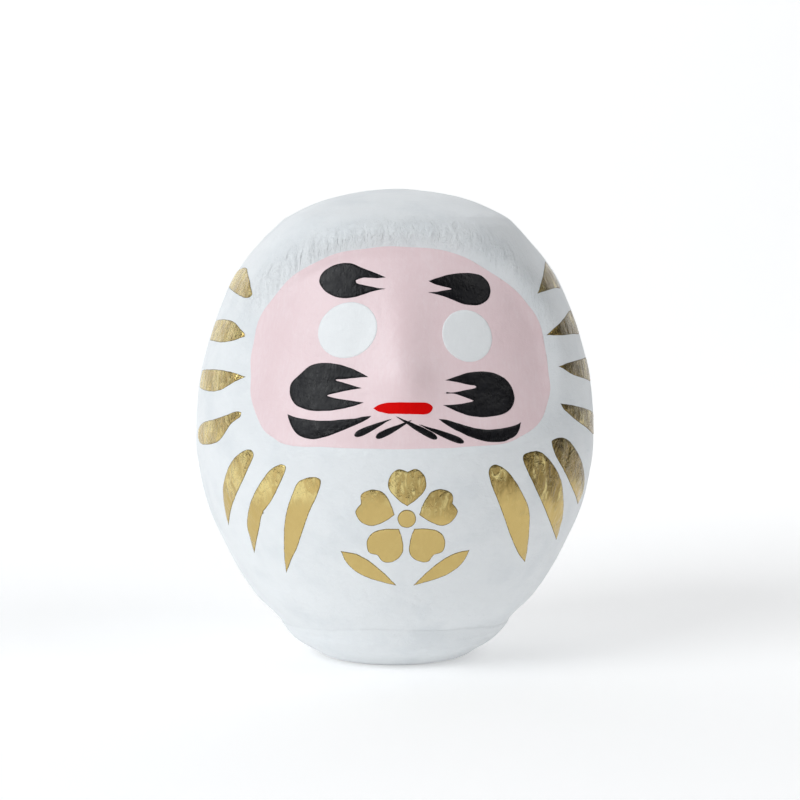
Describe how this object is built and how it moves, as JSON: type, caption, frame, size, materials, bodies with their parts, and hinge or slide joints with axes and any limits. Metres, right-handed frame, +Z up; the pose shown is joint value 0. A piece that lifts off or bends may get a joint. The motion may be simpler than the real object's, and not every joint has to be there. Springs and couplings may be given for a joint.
{
  "type": "daruma doll",
  "caption": "Round folk doll of moulded paper with a sunken painted face, gold leaf marks and a weighted round base that rights it.",
  "frame": {"origin": "middle of the flat foot that the doll stands on", "axes": "+Z up through the crown, the painted face looks along -Y, +X is towards the doll's own left hand"},
  "size_m": [0.102, 0.1028, 0.12],
  "materials": {
    "white_shell": "satin white shell-lime ground brushed over moulded paper pulp, with small lumps and pits",
    "white_wrap": "satin white ground over wrapped paper, with a wavy upper edge",
    "bare_paper": "bare tan paper, glued",
    "clay": "unglazed air-dried clay, matte",
    "pink_paint": "satin pale pink brushed paint",
    "white_paint": "satin white paint",
    "black_paint": "glossy black brushed paint",
    "red_paint": "satin red paint",
    "gold_leaf": "polished thin gold leaf with fine wrinkles"
  },
  "bodies": {
    "root": {"front_shell": "white_shell", "back_shell": "white_shell", "seam_strip": "bare_paper", "base_weight": "clay", "base_wrap": "white_wrap", "base_sole": "white_wrap", "face_paint": "pink_paint", "eye_left": "white_paint", "eye_right": "white_paint", "mouth": "red_paint", "brow_left": "black_paint", "brow_right": "black_paint", "whisker_left": "black_paint", "whisker_right": "black_paint", "moustache_left": "black_paint", "moustache_right": "black_paint", "stroke_left": "black_paint", "stroke_right": "black_paint", "crossed_strokes": "black_paint", "flower_centre": "gold_leaf", "leaf_left": "gold_leaf", "leaf_right": "gold_leaf", "petal_1": "gold_leaf", "petal_2": "gold_leaf", "petal_3": "gold_leaf", "petal_4": "gold_leaf", "petal_5": "gold_leaf", "side_mark_left_1": "gold_leaf", "side_mark_left_2": "gold_leaf", "side_mark_left_3": "gold_leaf", "side_mark_left_4": "gold_leaf", "belly_mark_left_1": "gold_leaf", "belly_mark_left_2": "gold_leaf", "belly_mark_left_3": "gold_leaf", "side_mark_right_1": "gold_leaf", "side_mark_right_2": "gold_leaf", "side_mark_right_3": "gold_leaf", "side_mark_right_4": "gold_leaf", "belly_mark_right_1": "gold_leaf", "belly_mark_right_2": "gold_leaf", "belly_mark_right_3": "gold_leaf"}
  },
  "joints": []
}
